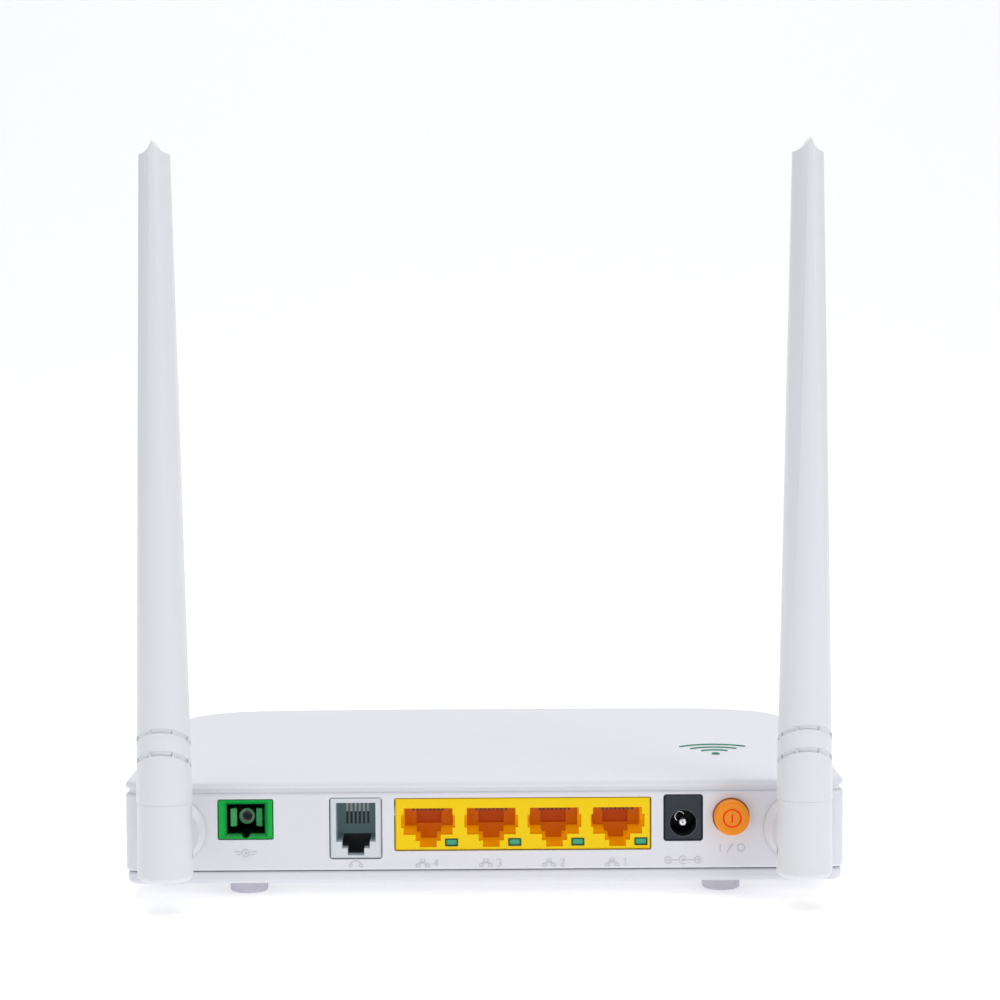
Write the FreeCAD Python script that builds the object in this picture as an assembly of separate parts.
import FreeCAD, Part
import math
import os

# Optical network terminal: a flat white wall-or-desk box with a port panel on its
# rear face (+Y), status lights on its front face (-Y) and two hinged antennas.
# Frame: millimetres, +Z up, Z = 0 on the desk, +X to the left of somebody who
# looks at the ports. The origin is the middle of the object's footprint.

V = FreeCAD.Vector

# ---------------------------------------------------------------- driving sizes
rear_half_width = 87.0      # half of the case's width at the port panel
side_taper = 0.045          # narrowing of each side per mm of depth
case_depth = 120.0
front_bow = 4.0             # how far the front face bulges
rear_corner = 3.5
front_corner = 26.0
wall = 2.0
fit_gap = 0.15              # between a shell's wall and the next one's lip
lip = 1.2                   # thickness of the locating lips
soft_edge = 0.7             # rounding of the shells where they meet
lid_edge = 0.4              # rounding of the top cover's lower edge

foot_height = 3.2
tray_top = 6.2              # seam between the bottom tray and the middle frame
frame_bottom = 6.5
frame_top = 25.3            # above it the frame steps in, as a groove
groove_top = 26.5           # the top cover starts here
groove_depth = 0.8
roof_rear = 28.0
roof_crown = 29.8
roof_front = 28.3
roof_thickness = 1.8

antenna_x = 75.5
swivel_z = 16.4
fold_z = 13.6
fold_reach = 13.5           # fold axis behind the port panel
elbow_radius = 6.6
elbow_bottom = 7.4
mast_bottom = 26.0
mast_top = 180.5

board_under = 24.3          # the board hangs components down, so all jacks end here
board_thickness = 1.2
board_half_width = 72.0

antenna_reach = fold_reach + elbow_radius
rear_y = (case_depth - antenna_reach) / 2
front_y = rear_y - case_depth
inner_y = rear_y - wall
board_top = board_under + board_thickness

case_screw_places = [(x, y) for x in (-78.0, 78.0) for y in (30.0,)]
case_screw_places += [(x, -41.0) for x in (-75.4, 75.4)]
board_screw_places = [(x, y) for x in (-68.5, 68.5) for y in (-48.0, 40.0)]
foot_x = 57.7
foot_radius = 4.6
foot_ys = {"rear": rear_y - 9.0, "front": front_y + 16.0}


# ---------------------------------------------------------------- small helpers
def box(x0, x1, y0, y1, z0, z1):
    return Part.makeBox(x1 - x0, y1 - y0, z1 - z0, V(x0, y0, z0))


def block(x, half, y0, y1, z0, z1):
    """A box centred on x."""
    return box(x - half, x + half, y0, y1, z0, z1)


def rod(radius, start, end):
    """A cylinder from one point to another."""
    axis = V(*end) - V(*start)
    return Part.makeCylinder(radius, axis.Length, V(*start), axis)


def cone(radius0, radius1, start, end):
    axis = V(*end) - V(*start)
    return Part.makeCone(radius0, radius1, axis.Length, V(*start), axis)


def fuse(shapes):
    return shapes[0].multiFuse(shapes[1:]).removeSplitter()


def cut(shape, tools):
    return shape.cut(Part.makeCompound(tools)).removeSplitter()


def upright_edges(shape, keep):
    """The vertical edges whose place (x, y) passes the test."""
    found = []
    for edge in shape.Edges:
        ends = [v.Point for v in edge.Vertexes]
        if len(ends) == 2 and (ends[0] - ends[1]).cross(V(0, 0, 1)).Length < 1e-6:
            if keep(ends[0].x, ends[0].y):
                found.append(edge)
    return found


def flat_edges(shape, z):
    """The edges that lie at one height."""
    return [e for e in shape.Edges if abs(e.BoundBox.ZMin - z) + abs(e.BoundBox.ZMax - z) < 1e-4]


def side_x(y):
    """Half of the case's width at one place along its depth."""
    return rear_half_width - side_taper * (rear_y - y)


def case_prism(inset, z0, z1):
    """The case's plan outline, drawn in by an inset and raised from z0 to z1."""
    rear = rear_y - inset
    front = front_y + front_bow + inset
    rear_x = side_x(rear) - inset
    front_x = side_x(front) - inset
    corners = [V(rear_x, rear, z0), V(-rear_x, rear, z0), V(-front_x, front, z0), V(front_x, front, z0)]
    nose = V(0, front_y + inset, z0)
    edges = [Part.makeLine(corners[0], corners[1]), Part.makeLine(corners[1], corners[2])]
    edges += [Part.Arc(corners[2], nose, corners[3]).toShape(), Part.makeLine(corners[3], corners[0])]
    prism = Part.Face(Part.Wire(edges)).extrude(V(0, 0, z1 - z0))
    rear_radius = max(rear_corner - inset, 0.5)
    prism = prism.makeFillet(rear_radius, upright_edges(prism, lambda x, y: y > 0))
    return prism.makeFillet(front_corner - inset, upright_edges(prism, lambda x, y: y < front * 0.9))


def below_roof(drop):
    """Everything under the crowned roof, lowered by a drop."""
    over = 2.0
    ends = [V(0, rear_y + over, roof_rear - drop), V(0, front_y - over, roof_front - drop)]
    crown = V(0, (rear_y + front_y) / 2, roof_crown - drop)
    floor = [V(0, p.y, 0) for p in ends]
    edges = [Part.Arc(ends[0], crown, ends[1]).toShape(), Part.makeLine(ends[1], floor[1])]
    edges += [Part.makeLine(floor[1], floor[0]), Part.makeLine(floor[0], ends[0])]
    face = Part.Face(Part.Wire(edges))
    face.translate(V(-2 * rear_half_width, 0, 0))
    return face.extrude(V(4 * rear_half_width, 0, 0))


def tube_along(points, radius):
    """A round tube on straight runs joined by tangent arcs, as large as the runs allow."""
    points = [V(*p) for p in points]
    edges = []
    start = points[0]
    radii = []
    for before, corner, after in zip(points, points[1:], points[2:]):
        run_in = corner - before
        run_out = after - corner
        turn = run_in.getAngle(run_out)
        back = 0.45 * min(run_in.Length, run_out.Length)
        radii.append(back / math.tan(turn / 2))
        inward = V(run_in).normalize()
        outward = V(run_out).normalize()
        arc_start = corner - inward * back
        arc_end = corner + outward * back
        bisector = (outward - inward).normalize()
        middle = corner + bisector * (radii[-1] / math.cos(turn / 2) - radii[-1])
        edges.append(Part.makeLine(start, arc_start))
        edges.append(Part.Arc(arc_start, middle, arc_end).toShape())
        start = arc_end
    edges.append(Part.makeLine(start, points[-1]))
    path = Part.Wire(edges)
    circle = Part.Wire([Part.makeCircle(radius, points[0], points[1] - points[0])])
    tube = path.makePipeShell([circle], True, True)
    expected = math.pi * radius ** 2 * path.Length
    print("tube: radii", [round(r, 1) for r in radii], "volume ratio", round(tube.Volume / expected, 4))
    return tube


def mirrored(shape):
    return shape.mirror(V(0, 0, 0), V(1, 0, 0))


def save(node, shapes):
    """Write one node as one solid or as a group of separate solids."""
    shapes = shapes if isinstance(shapes, list) else [shapes]
    solids = [solid for shape in shapes for solid in shape.Solids]
    shape = solids[0] if len(solids) == 1 else Part.makeCompound(solids)
    if len(solids) != len(shapes) or not shape.isValid():
        print("look at", node, len(shapes), "shapes", len(solids), "solids", shape.isValid())
    shape.exportStep("parts/" + node + ".step")


# ---------------------------------------------------------------- port panel sizes
# Each jack: where its middle is along X, its outline, and how deep it reaches.
panel_gap = 0.25            # dark gap between a jack and its hole in the panel
jack_face = rear_y - 0.2    # the jacks stand a little behind the panel's face

lan_x = -9.15
lan_half = 30.78
lan_pitch = 15.24
lan_port_xs = [lan_x + lan_pitch * (1.5 - i) for i in range(4)]
lan_bottom = 11.3
lan_front_top = 23.75       # the block steps down here to pass the panel
lan_back = jack_face - 15.0
lan_cavity_depth = 12.5
lan_led_offset = -5.65
lan_led_z = lan_bottom + 1.81
lan_led_half = (1.57, 0.96)

phone_x = 31.15
phone_half = 6.15
phone_bottom = 9.4
phone_top = 23.95
phone_depth = 13.0
phone_cavity_depth = 11.0

fibre_x = 57.7
fibre_half = 6.5
fibre_z = 19.0
fibre_half_height = 4.7
fibre_length = 22.0
fibre_opening = (4.55, 3.6)
ferrule_recess = 5.0        # the sleeve ends this far behind the panel's face
ferrule_radius = 1.25
sleeve_radius = 1.6
collar_radius = 1.9
relief_radius = 1.45        # the sleeve's inner half and the collar's lip are wider than the ferrule
ferrule_tip = rear_y - 11.0 # where the fixed ferrule meets the plug's
ferrule_clearance = 0.05

dc_x = -47.85
dc_half = 4.55
dc_bottom = 13.35
dc_hole_z = 17.5
dc_hole_radius = 3.2
dc_depth = 14.0
dc_hole_depth = 10.5
dc_pin_radius = 1.05

power_x = -59.4
power_z = 19.1
power_radius = 4.25
power_stand = 3.0
power_travel = 2.5

side_button_z = 16.0
side_button_ys = {"wps_button": 10.0, "wlan_button": -4.0}
reset_hole_y = -18.0
side_button_travel = 0.5

light_xs = [9.0 * i - 36.0 for i in range(9)]
light_z = 17.0


# ---------------------------------------------------------------- the three shells
def bottom_cover():
    tray = case_prism(0.4, foot_height, tray_top)
    tray = tray.makeFillet(1.5, flat_edges(tray, foot_height))
    tray = tray.makeFillet(soft_edge - 0.1, flat_edges(tray, tray_top))
    lip_top = tray_top + 2.0
    shell = fuse([tray, case_prism(wall + fit_gap, foot_height + 1.5, lip_top)])
    shell = cut(shell, [case_prism(wall + fit_gap + lip, foot_height + wall, lip_top + 1)])
    wells = [rod(4.0, (x, y, foot_height + 1.0), (x, y, lip_top)) for x, y in case_screw_places]
    shell = fuse([shell] + wells)
    holes = []
    for x, y in case_screw_places:
        holes.append(rod(3.2, (x, y, 0), (x, y, foot_height + 3.4)))
        holes.append(rod(1.6, (x, y, 0), (x, y, lip_top + 1)))
    for x in (-foot_x, foot_x):
        for y in foot_ys.values():
            holes.append(rod(foot_radius + 0.1, (x, y, 0), (x, y, foot_height + 0.6)))
    return cut(shell, holes + vent_slots() + keyholes())


def vent_slots():
    """Four rows of cooling slots through the floor, under the heat sink and the board."""
    slot_half = 0.9
    slot_length = 12.0
    slots = []
    for row in range(4):
        y = -42.0 + row * 17.0
        for column in range(15):
            x = (column - 7) * 5.0
            low = (x, y, 0)
            slots.append(rod(slot_half, low, (x, y, 9)))
            slots.append(rod(slot_half, (x, y + slot_length, 0), (x, y + slot_length, 9)))
            slots.append(block(x, slot_half, y, y + slot_length, 0, 9))
    return slots


keyhole_x = 50.0
keyhole_y = -8.0


def keyholes():
    """Two wall-mount keyholes in the floor: a round entry and a narrow slot."""
    cutters = []
    for x in (-keyhole_x, keyhole_x):
        cutters.append(rod(3.8, (x, keyhole_y, 0), (x, keyhole_y, 9)))
        cutters.append(block(x, 1.9, keyhole_y, keyhole_y + 8, 0, 9))
        cutters.append(rod(1.9, (x, keyhole_y + 8, 0), (x, keyhole_y + 8, 9)))
    return cutters


def rounded_hole(x, half, z0, z1, radius):
    hole = block(x, half, inner_y - 1, rear_y + 1, z0, z1)
    along_y = [e for e in hole.Edges if abs(e.BoundBox.YLength - wall - 2) < 1e-4]
    return hole.makeFillet(radius, along_y)


def panel_holes():
    """The port panel's openings, one behind each jack, button and antenna shaft."""
    gap = panel_gap
    holes = [rounded_hole(lan_x, lan_half + gap, lan_bottom - gap, lan_front_top + gap, 0.5)]
    holes.append(rounded_hole(phone_x, phone_half + gap, phone_bottom - gap, phone_top + gap, 0.8))
    fibre_low = fibre_z - fibre_half_height - gap
    fibre_high = fibre_z + fibre_half_height + gap
    holes.append(rounded_hole(fibre_x, fibre_half + gap, fibre_low, fibre_high, 0.5))
    holes.append(rounded_hole(dc_x, dc_half + gap, dc_bottom - gap, board_under + gap, 0.8))
    holes.append(rod(power_radius + 0.25, (power_x, inner_y - 1, power_z), (power_x, rear_y + 1, power_z)))
    for x in (-antenna_x, antenna_x):
        holes.append(rod(shaft_radius + 0.05, (x, inner_y - 1, swivel_z), (x, rear_y + 1, swivel_z)))
    return holes


shaft_radius = 4.0


def side_hole(y, half_length, half_height, grow):
    """A pill-shaped hole through the left side wall."""
    x0 = side_x(y) - 4
    x1 = side_x(y) + 2
    reach = half_length - half_height
    height = half_height + grow
    low = side_button_z - height
    high = side_button_z + height
    ends = [rod(height, (x0, y + d, side_button_z), (x1, y + d, side_button_z)) for d in (-reach, reach)]
    return fuse([box(x0, x1, y - reach, y + reach, low, high)] + ends)


def middle_frame():
    band = case_prism(0, frame_bottom, frame_top)
    band = band.makeFillet(soft_edge, flat_edges(band, frame_bottom) + flat_edges(band, frame_top))
    frame = fuse([band, case_prism(groove_depth, frame_top - 1, groove_top)])
    frame = cut(frame, [case_prism(wall, frame_bottom - 1, groove_top + 1)])
    holes = panel_holes()
    holes += [side_hole(y, 4.0, 1.75, 0.2) for y in side_button_ys.values()]
    reset_x = side_x(reset_hole_y)
    reset_ends = [(reset_x + d, reset_hole_y, side_button_z) for d in (-4, 2)]
    holes.append(rod(0.9, *reset_ends))
    holes += [rod(1.25, (x, front_y - 2, light_z), (x, front_y + 6, light_z)) for x in light_xs]
    return cut(frame, holes)


def top_cover():
    skin = case_prism(0, groove_top, roof_crown + 1).common(below_roof(0))
    rim = [e for e in skin.Edges if e.BoundBox.ZMin > groove_top + 0.5]
    skin = skin.makeFillet(1.1, rim)
    skin = skin.makeFillet(lid_edge, flat_edges(skin, groove_top))
    lip_bottom = frame_top + 0.1
    cover = fuse([skin, case_prism(wall + fit_gap, lip_bottom, groove_top + 0.6)])
    hollow = case_prism(wall + fit_gap + lip, 20, roof_crown + 1).common(below_roof(roof_thickness))
    cover = cut(cover, [hollow])
    under = below_roof(roof_thickness - 0.6)
    posts = [rod(3.2, (x, y, tray_top + 2), (x, y, roof_crown)).common(under) for x, y in case_screw_places]
    posts += [rod(3.0, (x, y, board_top), (x, y, roof_crown)).common(under) for x, y in board_screw_places]
    cover = fuse([cover] + posts)
    pilots = [rod(1.5, (x, y, 0), (x, y, 18)) for x, y in case_screw_places]
    pilots += [rod(1.25, (x, y, 0), (x, y, 27.2)) for x, y in board_screw_places]
    return cut(cover, pilots)


def foot(x, y):
    pad = rod(foot_radius, (x, y, 0), (x, y, foot_height + 0.6))
    return pad.makeFillet(0.7, flat_edges(pad, 0))


def pan_screw(x, y, head_z, head_radius, head_height, shank_radius, tip_z):
    """A cross-head screw that points up, with its head at the bottom."""
    head = rod(head_radius, (x, y, head_z), (x, y, head_z + head_height))
    head = head.makeFillet(0.5, flat_edges(head, head_z))
    shank = rod(shank_radius, (x, y, head_z + head_height - 0.2), (x, y, tip_z))
    cross = [block(x, 0.35, y - 1.3, y + 1.3, head_z - 1, head_z + 0.9)]
    cross.append(block(x, 1.3, y - 0.35, y + 0.35, head_z - 1, head_z + 0.9))
    return cut(fuse([head, shank]), cross)


def case_screws():
    return [pan_screw(x, y, foot_height + 1.4, 2.6, 2.0, 1.5, 17.0) for x, y in case_screw_places]


def board_screws():
    return [pan_screw(x, y, board_under - 1.6, 2.3, 1.6, 1.25, 27.0) for x, y in board_screw_places]


# ---------------------------------------------------------------- the board and what hangs from it
def main_board():
    rear = rear_y - wall - fit_gap - lip - 0.1
    board = box(-board_half_width, board_half_width, front_y + 14, rear, board_under, board_top)
    board = board.common(case_prism(wall + fit_gap + lip + 0.3, board_under, board_top))
    holes = [rod(1.35, (x, y, 20), (x, y, 30)) for x, y in board_screw_places]
    return cut(board, holes)


def main_processor():
    return box(-19, 0, -16, 3, board_under - 1.4, board_under)


def heat_sink():
    base_top = board_under - 1.4
    size = 36.0
    x0 = -9.5 - size / 2
    y0 = -6.5 - size / 2
    base = box(x0, x0 + size, y0, y0 + size, base_top - 2, base_top)
    pitch = 3.4
    fins = [box(x0 + i * pitch, x0 + i * pitch + 1.2, y0, y0 + size, 11, base_top - 1) for i in range(11)]
    return fuse([base] + fins)


def chip(x, y, length, width, height):
    """A block under the board, centred on one place."""
    return block(x, length / 2, y - width / 2, y + width / 2, board_under - height, board_under)


def memory_chips():
    return [chip(-40, 2, 9, 13, 1.2), chip(-40, -16, 9, 13, 1.2), chip(18, -14, 8, 6, 1.0)]


def shield_can(x0, x1, y0, y1, height):
    """A drawn metal lid over part of the board, open towards the board."""
    skin = 0.3
    can = box(x0, x1, y0, y1, board_under - height, board_under)
    hollow = box(x0 + skin, x1 - skin, y0 + skin, y1 - skin, board_under - height + skin, board_under + 1)
    return cut(can, [hollow])


def lan_transformers():
    return [chip(x, 24, 12.7, 9.5, 5.8) for x in lan_port_xs]


def capacitors():
    places = [(-48, 28, 3.8, 11.5), (-47, 18, 3.8, 11.5), (-66, 4, 3.2, 9.0), (-57, 4, 3.2, 9.0)]
    places += [(36, 22, 2.5, 7.0), (44, 22, 2.5, 7.0)]
    cans = []
    for x, y, radius, height in places:
        can = rod(radius, (x, y, board_under - height), (x, y, board_under))
        cans.append(can.makeFillet(0.5, flat_edges(can, board_under - height)))
    return cans


def inductors():
    coils = []
    for x, y in ((-64, -6), (-64, -16), (-54, -6), (34, 10)):
        coil = chip(x, y, 7, 7, 4)
        coils.append(coil.makeFillet(1.5, upright_edges(coil, lambda a, b: True)))
    return coils


def status_leds():
    led_y = front_y + 17
    return [chip(x, led_y, 1.6, 1.0, 0.8) for x in light_xs]


def light_guide():
    """A clear bar under the status LEDs with one prong through the front wall for each."""
    bar = box(light_xs[0] - 3, light_xs[-1] + 3, front_y + 15, front_y + 19, light_z - 1.6, board_under - 1.2)
    prongs = []
    for x in light_xs:
        prong = rod(1.2, (x, front_y - 1, light_z), (x, front_y + 16, light_z))
        prongs.append(prong.common(case_prism(0.1, 0, 40)))
    return fuse([bar] + prongs)


def tact_switches():
    """Right-angle push switches at the board's edge, one per side button and one for reset."""
    switches = []
    for y in list(side_button_ys.values()) + [reset_hole_y]:
        body = box(board_half_width - 4, board_half_width, y - 3, y + 3, side_button_z - 2.2, board_under)
        stem = rod(1.2, (board_half_width, y, side_button_z), (board_half_width + 1.0, y, side_button_z))
        switches.append(fuse([body, stem]))
    return switches


# ---------------------------------------------------------------- jacks
def lan_jack_block():
    shell = block(lan_x, lan_half, lan_back, jack_face, lan_bottom, board_under)
    back = jack_face - lan_cavity_depth
    holes = [block(lan_x, lan_half, inner_y - 0.3, rear_y, lan_front_top, board_under)]
    for x in lan_port_xs:
        holes.append(block(x, 5.9, back, rear_y, 15.0, 21.45))
        holes.append(block(x, 6.5, back + 4, rear_y, 16.7, 19.8))
        holes.append(block(x, 3.05, back, rear_y, 13.5, 16.0))
        holes.append(block(x, 2.03, back, rear_y, 11.96, 14.0))
        holes.append(block(x, 3.1, back - 1.2, rear_y, 15.6, 19.4))
        led_x = x + lan_led_offset
        half, tall = lan_led_half
        holes.append(block(led_x, half, back + 1, rear_y, lan_led_z - tall, lan_led_z + tall))
    shell = cut(shell, holes)
    rim = flat_rim(shell, jack_face)
    return shell.makeChamfer(0.3, rim)


def flat_rim(shape, y):
    """The outer rim edges of a face that looks along +Y."""
    box_all = shape.BoundBox
    rim = []
    for edge in shape.Edges:
        b = edge.BoundBox
        on_face = abs(b.YMin - y) + abs(b.YMax - y) < 1e-4
        low_high = b.ZMin < box_all.ZMin + 1e-4 and b.ZMax < box_all.ZMin + 1e-4
        at_side = abs(b.XMin - box_all.XMin) + abs(b.XMax - box_all.XMin) < 1e-4
        at_side = at_side or abs(b.XMin - box_all.XMax) + abs(b.XMax - box_all.XMax) < 1e-4
        if on_face and (low_high or at_side):
            rim.append(edge)
    return rim


def contact(x, back, front, back_z, front_z, half):
    """One sprung contact wire: a flat bar that slopes up towards the mouth."""
    thick = 0.35
    corners = [V(x - half, back, back_z), V(x - half, front, front_z)]
    corners += [V(x - half, front, front_z + thick), V(x - half, back, back_z + thick)]
    face = Part.Face(Part.makePolygon(corners + corners[:1]))
    return face.extrude(V(2 * half, 0, 0))


def lan_contacts():
    back = jack_face - lan_cavity_depth
    pitch = 1.02
    wires = []
    front = jack_face - 1.6
    for port in lan_port_xs:
        wires += [contact(port + (i - 3.5) * pitch, back, front, 19.7, 21.0, 0.24) for i in range(8)]
    return wires


def lan_leds():
    half, tall = lan_led_half
    back = jack_face - lan_cavity_depth + 1
    z0 = lan_led_z - tall + 0.05
    z1 = lan_led_z + tall - 0.05
    return [block(x + lan_led_offset, half - 0.05, back, jack_face - 0.2, z0, z1) for x in lan_port_xs]


def phone_jack():
    back = jack_face - phone_cavity_depth
    shell = block(phone_x, phone_half, jack_face - phone_depth, jack_face, phone_bottom, phone_top)
    holes = [block(phone_x, 4.775, back, rear_y, 13.4, 22.9)]
    holes.append(block(phone_x, 3.35, back, rear_y, 11.8, 14.0))
    holes.append(block(phone_x, 2.0, back, rear_y, 10.1, 12.0))
    pitch = 1.02
    comb = [block(phone_x + (i - 2.5) * pitch, 0.3, back, jack_face - 0.9, 22.5, 23.5) for i in range(6)]
    shell = cut(shell, holes + comb)
    return shell.makeChamfer(0.3, flat_rim(shell, jack_face))


def phone_contacts():
    back = jack_face - phone_cavity_depth
    pitch = 1.02
    return [contact(phone_x + (i - 2.5) * pitch, back, jack_face - 1.2, 20.9, 22.9, 0.24) for i in range(6)]


def fibre_adapter():
    """An SC/APC receptacle: a square sleeve with a mid wall, latch arms and a key notch."""
    half, tall = fibre_opening
    back = jack_face - fibre_length
    z0 = fibre_z - fibre_half_height
    z1 = fibre_z + fibre_half_height
    mid = rear_y - 13.0
    shell = block(fibre_x, fibre_half, back, jack_face, z0, z1)
    flange = block(fibre_x, fibre_half + 2.0, inner_y - 2.4, inner_y - 0.2, z0 + 0.5, z1 - 0.5)
    holes = [block(fibre_x, half, mid, rear_y, fibre_z - tall, fibre_z + tall)]
    holes.append(block(fibre_x, half, back - 1, mid - 2.5, fibre_z - tall, fibre_z + tall))
    key_z = fibre_z - tall
    holes.append(rod(1.0, (fibre_x, jack_face - 7, key_z), (fibre_x, rear_y, key_z)))
    holes.append(rod(collar_radius + 0.05, (fibre_x, back - 1, fibre_z), (fibre_x, rear_y, fibre_z)))
    shell = cut(fuse([shell, flange]), holes + [adapter_mouth()])
    arms = []
    for side in (-1, 1):
        root = fibre_x + side * (half - 0.55)
        arms.append(block(root, 0.25, mid - 0.5, rear_y - 5.5, fibre_z - 1.6, fibre_z + 1.6))
        hook = fibre_x + side * (half - 0.85)
        arms.append(block(hook, 0.4, rear_y - 6.6, rear_y - 5.5, fibre_z - 1.6, fibre_z + 1.6))
    return fuse([shell] + arms)


def adapter_mouth():
    """The bevelled lead-in round the receptacle's opening."""
    bevel = 0.9
    half, tall = fibre_opening
    outlines = []
    for grow, y in ((0, jack_face - bevel), (bevel + 0.1, jack_face + 0.1)):
        x = half + grow
        z = tall + grow
        corners = [V(fibre_x + i * x, y, fibre_z + j * z) for i, j in ((-1, -1), (1, -1), (1, 1), (-1, 1))]
        outlines.append(Part.makePolygon(corners + corners[:1]))
    return Part.makeLoft(outlines, True, True)


def sleeve_holder():
    """The collar that keeps the ferrule sleeve on the axis of the receptacle."""
    start = (fibre_x, rear_y - 16.5, fibre_z)
    end = (fibre_x, rear_y - ferrule_recess, fibre_z)
    lip_back = (fibre_x, end[1] - 0.4, fibre_z)
    collar = rod(collar_radius, start, end)
    return cut(collar, [rod(sleeve_radius, start, lip_back), rod(relief_radius, start, end)])


def ceramic_sleeve():
    """Split sleeve that lines up the two ferrules."""
    start = (fibre_x, rear_y - 16.3, fibre_z)
    middle = (fibre_x, ferrule_tip, fibre_z)
    end = (fibre_x, rear_y - ferrule_recess - 0.5, fibre_z)
    slit = block(fibre_x, 0.15, start[1] - 1, end[1] + 1, fibre_z + 0.5, fibre_z + 2)
    bores = [rod(ferrule_radius, middle, end), rod(relief_radius, start, middle)]
    return cut(rod(sleeve_radius, start, end), bores + [slit])


def optical_module():
    """Transceiver: a gold-plated barrel with a fibre nozzle and two diode cans."""
    y = fibre_bend_y
    z = fibre_z
    body = box(22, 34, y - 3.5, y + 3.5, z - 3.5, z + 3.5)
    nozzle = rod(1.6, (34, y, z), (39, y, z))
    laser = rod(2.7, (17.5, y, z), (22, y, z))
    diode = rod(2.7, (28, y - 7.5, z), (28, y - 3.5, z))
    pins = [rod(0.25, (17.5 - 3, y + d, z + e), (17.5, y + d, z + e)) for d in (-1, 1) for e in (-1, 1)]
    return fuse([body, nozzle, laser, diode] + pins)


fibre_bend_y = -8.0


def fibre_pigtail():
    back = jack_face - fibre_length
    route = [(fibre_x, back + 4.0, fibre_z), (fibre_x, 12, fibre_z), (fibre_x - 4, -1, fibre_z)]
    route += [(fibre_x - 11, fibre_bend_y, fibre_z), (39, fibre_bend_y, fibre_z)]
    return tube_along(route, 0.45)


def ferrule():
    """The fixed ferrule on the pigtail, inside the back of the receptacle."""
    back = jack_face - fibre_length
    tip = ferrule_tip - ferrule_clearance
    stem = rod(ferrule_radius, (fibre_x, back + 5.0, fibre_z), (fibre_x, tip, fibre_z))
    collar = rod(2.2, (fibre_x, back + 4.0, fibre_z), (fibre_x, back + 5.4, fibre_z))
    return fuse([collar, stem])


def dc_jack_body():
    back = jack_face - dc_hole_depth
    shell = block(dc_x, dc_half, jack_face - dc_depth, jack_face, dc_bottom, board_under)
    holes = [rod(dc_hole_radius, (dc_x, back, dc_hole_z), (dc_x, rear_y, dc_hole_z))]
    holes.append(block(dc_x, 1.5, back, jack_face - 1.5, dc_hole_z, dc_hole_z + 4.6))
    shell = cut(shell, holes)
    return shell.makeChamfer(0.3, flat_rim(shell, jack_face))


def dc_jack_pin():
    back = jack_face - dc_hole_depth
    tip = jack_face - 1.0
    pin = rod(dc_pin_radius, (dc_x, back, dc_hole_z), (dc_x, tip, dc_hole_z))
    edges = [e for e in pin.Edges if abs(e.BoundBox.YMin - tip) + abs(e.BoundBox.YMax - tip) < 1e-4]
    pin = pin.makeFillet(0.6, edges)
    return cut(pin, [rod(0.3, (dc_x, tip - 2.0, dc_hole_z), (dc_x, tip + 1, dc_hole_z))])


def dc_jack_spring():
    """Leaf contact above the plug's barrel."""
    back = jack_face - dc_hole_depth
    leaf_z = dc_hole_z + dc_hole_radius
    bend = back + 6.0
    leaves = [contact(dc_x, back, bend, leaf_z + 0.8, leaf_z + 0.1, 1.2)]
    leaves.append(contact(dc_x, bend, jack_face - 1.8, leaf_z + 0.1, leaf_z + 0.8, 1.2))
    return fuse(leaves)


# ---------------------------------------------------------------- buttons
switch_front = 41.0
plunger_half = 1.95


def switch_body():
    shell = block(power_x, 4.0, switch_front - 13, switch_front, power_z - 5.2, board_under)
    slot_half = plunger_half + 0.1
    low = power_z - slot_half
    slot = block(power_x, slot_half, switch_front - 8, switch_front + 1, low, power_z + slot_half)
    return cut(shell, [slot])


def switch_plunger():
    low = power_z - plunger_half
    high = power_z + plunger_half
    return block(power_x, plunger_half, switch_front - 4.5, rear_y - 1.8, low, high)


def power_button_cap():
    back = rear_y - 4.6
    tip = rear_y + power_stand
    stem = rod(power_radius, (power_x, back, power_z), (power_x, tip, power_z))
    edges = [e for e in stem.Edges if abs(e.BoundBox.YMin - tip) + abs(e.BoundBox.YMax - tip) < 1e-4]
    stem = stem.makeFillet(0.6, edges)
    flange = rod(power_radius + 0.75, (power_x, back, power_z), (power_x, inner_y - 0.25, power_z))
    low = power_z - plunger_half
    high = power_z + plunger_half
    socket = block(power_x, plunger_half, back - 1, rear_y - 1.8, low, high)
    return cut(fuse([stem, flange]), [socket])


def side_button(y):
    """A pill-shaped key in the left wall with a stem that reaches its switch."""
    face_x = side_x(y) + 0.6
    wall_in = side_x(y - 6) - wall - 0.35
    key = side_hole(y, 4.0, 1.75, 0).common(box(wall_in - 1.0, face_x, y - 6, y + 6, 0, 40))
    flange = box(wall_in - 1.2, wall_in, y - 5.2, y + 5.2, side_button_z - 2.8, side_button_z + 2.8)
    stem = rod(1.2, (board_half_width + 1.6, y, side_button_z), (wall_in, y, side_button_z))
    return fuse([key, flange, stem])


# ---------------------------------------------------------------- antennas
boss_gap = 0.25             # between the turning boss and the panel
boss_face = rear_y + 4.0
fold_y = rear_y + fold_reach
tongue_half = 2.5
slot_half = 2.7
hinge_radius = 1.5
socket_radius = 4.5
socket_depth = 4.2
bore_radius = 2.4
mast_bore_x = antenna_x + 0.1
mast_bore_top = 135.0
tip_half_width = 3.6
tip_half_depth = 5.75
boss_root = 8.2             # radius of the swivel boss at the panel
boss_end = 6.9
elbow_chamfer = 0.15        # the visible seam between the elbow and the mast
tip_lean = 0.4              # the tip stands this far outward of the elbow
gable = 3.0                 # ridge of the tip above its shoulders


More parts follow.
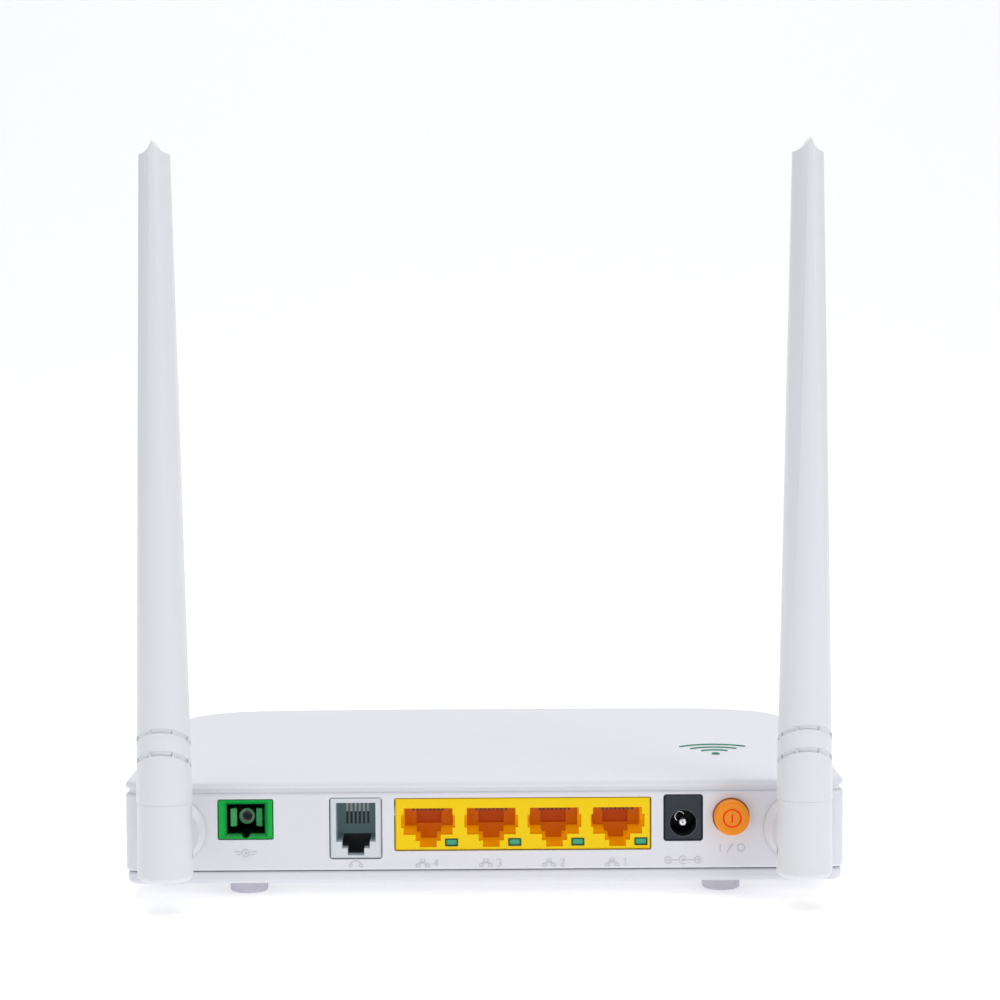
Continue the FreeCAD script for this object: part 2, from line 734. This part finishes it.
def swivel_base():
    """Boss on the panel, its shaft through the panel and the tongue that carries the fold pin."""
    boss_ends = [(antenna_x, rear_y + boss_gap, swivel_z), (antenna_x, boss_face, swivel_z)]
    boss = cone(boss_root, boss_end, *boss_ends)
    shaft_end = inner_y - 2.8
    shaft = rod(shaft_radius, (antenna_x, shaft_end, swivel_z), (antenna_x, boss_face, swivel_z))
    left = antenna_x - tongue_half
    root = boss_face - 0.5
    outline = [(root, -2.9), (root, 4.9), (fold_y - 5, 4.6), (fold_y - 1.2, 3.7)]
    outline += [(fold_y, 0), (fold_y - 1.2, -3.8), (fold_y - 5.5, -3.2)]
    profile = [V(left, y, fold_z + above) for y, above in outline]
    web = Part.Face(Part.makePolygon(profile + profile[:1])).extrude(V(2 * tongue_half, 0, 0))
    eye = rod(4.0, (left, fold_y, fold_z), (left + 2 * tongue_half, fold_y, fold_z))
    base = fuse([boss, shaft, web, eye])
    pin_hole = rod(hinge_radius + 0.05, (left - 1, fold_y, fold_z), (left + 6, fold_y, fold_z))
    lead_hole = rod(1.2, (antenna_x, shaft_end - 1, swivel_z), (antenna_x, boss_face - 1, swivel_z))
    neck_y0 = inner_y - 1.7
    neck = rod(shaft_radius + 1, (antenna_x, neck_y0, swivel_z), (antenna_x, neck_y0 + 1.5, swivel_z))
    neck = cut(neck, [rod(3.4, (antenna_x, neck_y0 - 1, swivel_z), (antenna_x, neck_y0 + 3, swivel_z))])
    return cut(base, [pin_hole, lead_hole, neck])


def swivel_ring():
    """Snap ring in the shaft's groove, behind the panel, open on one side."""
    y0 = inner_y - 1.7
    y1 = y0 + 1.5
    ring = rod(6.2, (antenna_x, y0, swivel_z), (antenna_x, y1, swivel_z))
    bore = rod(3.4, (antenna_x, y0 - 1, swivel_z), (antenna_x, y1 + 1, swivel_z))
    gap = block(antenna_x, 1.4, y0 - 1, y1 + 1, swivel_z - 8, swivel_z)
    return cut(ring, [bore, gap])


def hinge_pin():
    half = elbow_radius - 0.4
    return rod(hinge_radius, (antenna_x - half, fold_y, fold_z), (antenna_x + half, fold_y, fold_z))


def elbow():
    """Lower piece of the antenna: round, with a slot for the tongue that opens towards the panel and down."""
    barrel = cone(elbow_radius, 6.45, (antenna_x, fold_y, elbow_bottom), (antenna_x, fold_y, mast_bottom))
    barrel = barrel.makeFillet(1.4, flat_edges(barrel, elbow_bottom))
    barrel = barrel.makeChamfer(elbow_chamfer, flat_edges(barrel, mast_bottom))
    slot = block(antenna_x, slot_half, fold_y - 10, fold_y + 4.3, 0, fold_z + 6.5)
    socket_ends = [(antenna_x, fold_y, mast_bottom + d) for d in (-socket_depth, 1)]
    socket = rod(socket_radius, *socket_ends)
    bore = rod(bore_radius, (antenna_x, fold_y, fold_z + 5), (antenna_x, fold_y, mast_bottom))
    pin_hole = rod(hinge_radius, (antenna_x - 8, fold_y, fold_z), (antenna_x + 8, fold_y, fold_z))
    return cut(barrel, [slot, socket, bore, pin_hole])


def mast_section(z):
    """The mast's outline at one height: round at the bottom, a narrow oval at the tip."""
    t = (z - mast_bottom) / (mast_top - mast_bottom)
    half_width = elbow_radius + (tip_half_width - elbow_radius) * t
    half_depth = elbow_radius + (tip_half_depth - elbow_radius) * t
    middle_x = antenna_x + tip_lean * t
    points = []
    for i in range(16):
        angle = 2 * math.pi * i / 16 - math.pi / 2
        points.append(V(middle_x + half_width * math.cos(angle), fold_y + half_depth * math.sin(angle), z))
    curve = Part.BSplineCurve()
    curve.interpolate(Points=points, PeriodicFlag=True)
    return Part.Wire([curve.toShape()])


def scoop(side):
    """A long hollow facet beside the ridge: a big cylinder that leans into the tip."""
    radius = 9.0
    low = V(antenna_x + tip_lean * 0.3 + side * 10.55, fold_y + 10.55, 74.0)
    high = V(antenna_x + tip_lean + side * 9.31, fold_y + 7.46, mast_top)
    step = (high - low) / (high.z - low.z)
    start = low - step * 30
    end = high + step * 20
    return Part.makeCylinder(radius, (end - start).Length, start, end - start)


def tip_cutter():
    """What lies above the tip: two hollow slopes that meet in a ridge, and a round far corner."""
    x = antenna_x + tip_lean
    y0 = fold_y - 12
    shoulder = mast_top - gable
    ridge = V(x, y0, mast_top)
    right = V(x + tip_half_width, y0, shoulder)
    left = V(x - tip_half_width, y0, shoulder)
    edges = [Part.Arc(ridge, V(x + 1.5, y0, mast_top - 2.0), right).toShape()]
    outline = [right, V(x + 9, y0, shoulder - 1.2), V(x + 9, y0, mast_top + 9), V(x - 9, y0, mast_top + 9)]
    outline += [V(x - 9, y0, shoulder - 1.2), left]
    edges += [Part.makeLine(a, b) for a, b in zip(outline, outline[1:])]
    edges.append(Part.Arc(left, V(x - 1.5, y0, mast_top - 2.0), ridge).toShape())
    roof = Part.Face(Part.Wire(edges)).extrude(V(0, 24, 0))
    round_radius = 3.5
    corner_y = fold_y - tip_half_depth
    corner = block(x, 8, corner_y - 4, corner_y + round_radius, mast_top - round_radius, mast_top + 4)
    centre = (corner_y + round_radius, mast_top - round_radius)
    corner = corner.cut(rod(round_radius, (x - 9, *centre), (x + 9, *centre)))
    return [roof, corner]


ring_tilt = math.radians(32)
ring_peaks = (43.8, 38.5)
ring_width = 1.1
ring_core = 6.05            # what is left inside the decorative ring grooves


def ring_groove(peak):
    """A decorative groove round the mast, in a plane that drops towards the panel."""
    middle = V(antenna_x, fold_y, peak - elbow_radius * math.tan(ring_tilt))
    normal = V(0, -math.sin(ring_tilt), math.cos(ring_tilt))
    disc = Part.makeCylinder(14, ring_width, middle - normal * (ring_width / 2), normal)
    return disc.cut(rod(ring_core, (antenna_x + 0.1, fold_y, 20), (antenna_x + 0.1, fold_y, 60)))


def mast():
    body = Part.makeLoft([mast_section(mast_bottom), mast_section(mast_top + 1.5)], True, True)
    foot_end = mast_bottom - socket_depth + 0.2
    spigot = rod(socket_radius, (antenna_x, fold_y, foot_end), (antenna_x, fold_y, mast_bottom + 1))
    tools = [scoop(-1), scoop(1)] + tip_cutter() + [ring_groove(peak) for peak in ring_peaks]
    tools.append(rod(bore_radius, (mast_bore_x, fold_y, 0), (mast_bore_x, fold_y, mast_bore_top)))
    shape = body.fuse(spigot)
    for tool in tools:
        shape = shape.cut(tool)
    return shape


def radiator():
    """Brass tube radiator on the end of the coaxial lead, inside the mast."""
    tube = rod(1.6, (mast_bore_x, fold_y, 60), (mast_bore_x, fold_y, mast_bore_top - 10))
    core = rod(0.7, (mast_bore_x, fold_y, mast_bottom - 3), (mast_bore_x, fold_y, 60))
    return fuse([tube, core])


def antenna_lead():
    """Coaxial lead from its board connector to the middle of the swivel shaft."""
    route = [(antenna_x, inner_y - 1.5, swivel_z), (antenna_x, 37, swivel_z), (72.5, 28, 17.8)]
    route += [(67, 21, 20.6), (61, 16.5, 22.6), (56.4, 14.1, 23.0)]
    lead = tube_along(route, 0.7)
    return lead


def lead_connector():
    return rod(1.7, (54.5, 13.3, board_under - 2.0), (54.5, 13.3, board_under))


# ---------------------------------------------------------------- write every node
def write_case():
    save("top_cover", top_cover())
    save("middle_frame", middle_frame())
    save("bottom_cover", bottom_cover())
    for end, y in foot_ys.items():
        for side, x in (("left", foot_x), ("right", -foot_x)):
            save("foot_" + end + "_" + side, foot(x, y))
    save("case_screws", case_screws())


def write_board():
    save("main_board", main_board())
    save("board_screws", board_screws())
    save("main_processor", main_processor())
    save("heat_sink", heat_sink())
    save("memory_chips", memory_chips())
    save("wifi_shield", shield_can(-64, -32, -48, -28, 3.2))
    save("optics_shield", shield_can(14, 44, -50, -26, 3.2))
    save("lan_transformers", lan_transformers())
    save("capacitors", capacitors())
    save("inductors", inductors())
    save("status_leds", status_leds())
    save("light_guide", light_guide())
    save("tact_switches", tact_switches())


def write_jacks():
    save("lan_jack_block", lan_jack_block())
    save("lan_contacts", lan_contacts())
    save("lan_leds", lan_leds())
    save("phone_jack", phone_jack())
    save("phone_contacts", phone_contacts())
    save("fibre_adapter", fibre_adapter())
    save("sleeve_holder", sleeve_holder())
    save("ceramic_sleeve", ceramic_sleeve())
    save("ferrule", ferrule())
    save("fibre_pigtail", fibre_pigtail())
    save("optical_module", optical_module())
    save("dc_jack_body", dc_jack_body())
    save("dc_jack_pin", dc_jack_pin())
    save("dc_jack_spring", dc_jack_spring())


def write_buttons():
    save("switch_body", switch_body())
    save("switch_plunger", switch_plunger())
    save("power_button_cap", power_button_cap())
    for node, y in side_button_ys.items():
        save(node, side_button(y))


def write_antennas():
    makers = {"swivel_base": swivel_base, "swivel_ring": swivel_ring, "hinge_pin": hinge_pin}
    makers.update({"elbow": elbow, "mast": mast, "radiator": radiator})
    makers.update({"antenna_lead": antenna_lead, "lead_connector": lead_connector})
    for name, make in makers.items():
        shape = make()
        save(name + "_left", shape)
        save(name + "_right", mirrored(shape))


os.makedirs("parts", exist_ok=True)
write_case()
write_board()
write_jacks()
write_buttons()
write_antennas()
